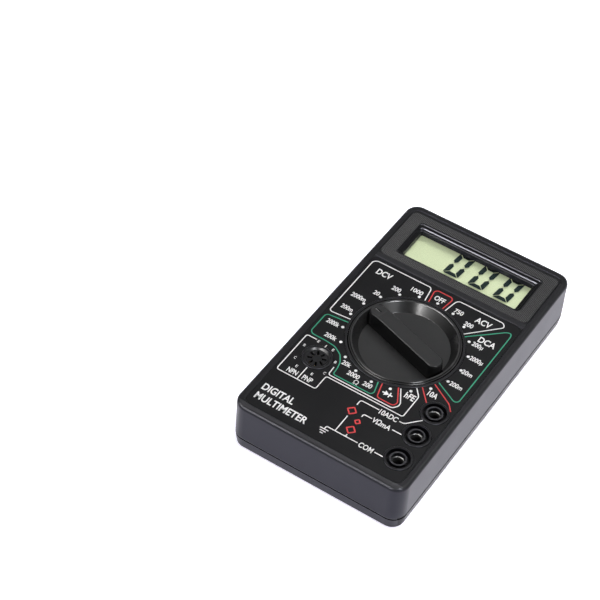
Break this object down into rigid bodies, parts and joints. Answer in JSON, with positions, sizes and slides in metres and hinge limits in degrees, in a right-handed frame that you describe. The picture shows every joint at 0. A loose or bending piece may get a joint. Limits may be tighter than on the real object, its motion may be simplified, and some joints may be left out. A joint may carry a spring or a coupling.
{
  "type": "digital multimeter",
  "caption": "Pocket meter with a segment display, a round range selector, a transistor test socket and plug sockets in a two-shell plastic case.",
  "frame": {"origin": "centre of the flat rear face that the meter lies on", "axes": "+X to the right and +Y towards the display, both seen from the front; +Z out of the front face"},
  "size_m": [0.071, 0.126, 0.0262],
  "materials": {
    "case_plastic": "satin moulded",
    "knob_plastic": "fine matt",
    "socket_plastic": "moulded",
    "label_print": "printed film, satin",
    "display_glass": "clear",
    "display_back": "matt, pale green grey",
    "rubber_strip": "matt",
    "board_laminate": "solder mask",
    "gold_track": "plated",
    "spring_steel": "bright",
    "ball_steel": "polished",
    "contact_brass": "bright",
    "jack_brass": "nickelled",
    "shunt_wire": "bare alloy wire",
    "fuse_glass": "clear",
    "plated_metal": "nickelled",
    "battery_jacket": "plain lacquer",
    "battery_fill": "plain",
    "snap_plastic": "moulded",
    "lead_red": "satin",
    "lead_black": "satin",
    "chip_resin": "cured resin",
    "resistor_body": "lacquered",
    "film_body": "dipped",
    "can_sleeve": "shrink sleeve",
    "trimmer_body": "moulded",
    "diode_body": "moulded"
  },
  "bodies": {
    "housing": {"front_case": "case_plastic", "rear_case": "case_plastic", "face_label": "label_print", "lcd_glass": "display_glass", "lcd_reflector": "display_back", "zebra_strip": "rubber_strip", "circuit_board": "board_laminate", "switch_tracks": "gold_track", "transistor_socket": "socket_plastic", "socket_contacts": "contact_brass", "input_jack_current": "jack_brass", "input_jack_voltage": "jack_brass", "input_jack_common": "jack_brass", "current_shunt": "shunt_wire", "fuse_tube": "fuse_glass", "fuse_caps": "plated_metal", "fuse_wire": "plated_metal", "fuse_clips": "contact_brass", "battery_cell": "battery_fill", "battery_jacket": "battery_jacket", "battery_terminals": "plated_metal", "battery_snap": "snap_plastic", "battery_lead_red": "lead_red", "battery_lead_black": "lead_black", "converter_chip": "chip_resin", "resistors": "resistor_body", "film_capacitors": "film_body", "electrolytic_capacitor": "can_sleeve", "calibration_trimmer": "trimmer_body", "input_diodes": "diode_body", "board_screws": "spring_steel", "case_screws": "spring_steel"},
    "selector": {"selector_knob": "knob_plastic", "knob_contacts": "contact_brass", "detent_spring_a": "spring_steel", "detent_spring_b": "spring_steel"},
    "ball_a": {"detent_ball_a": "ball_steel"},
    "ball_b": {"detent_ball_b": "ball_steel"}
  },
  "joints": [
    {"name": "selector_turn", "type": "hinge", "parent": "housing", "child": "selector", "pos_m": [0, -0.0022, 0.0195], "axis": [0, 0, 1], "continuous": true},
    {"name": "detent_a_travel", "type": "slide", "parent": "selector", "child": "ball_a", "axis": [0, 0, 1], "range_m": [0, 0.0003], "deforming": ["detent_spring_a"]},
    {"name": "detent_b_travel", "type": "slide", "parent": "selector", "child": "ball_b", "axis": [0, 0, 1], "range_m": [0, 0.0003], "deforming": ["detent_spring_b"]}
  ]
}
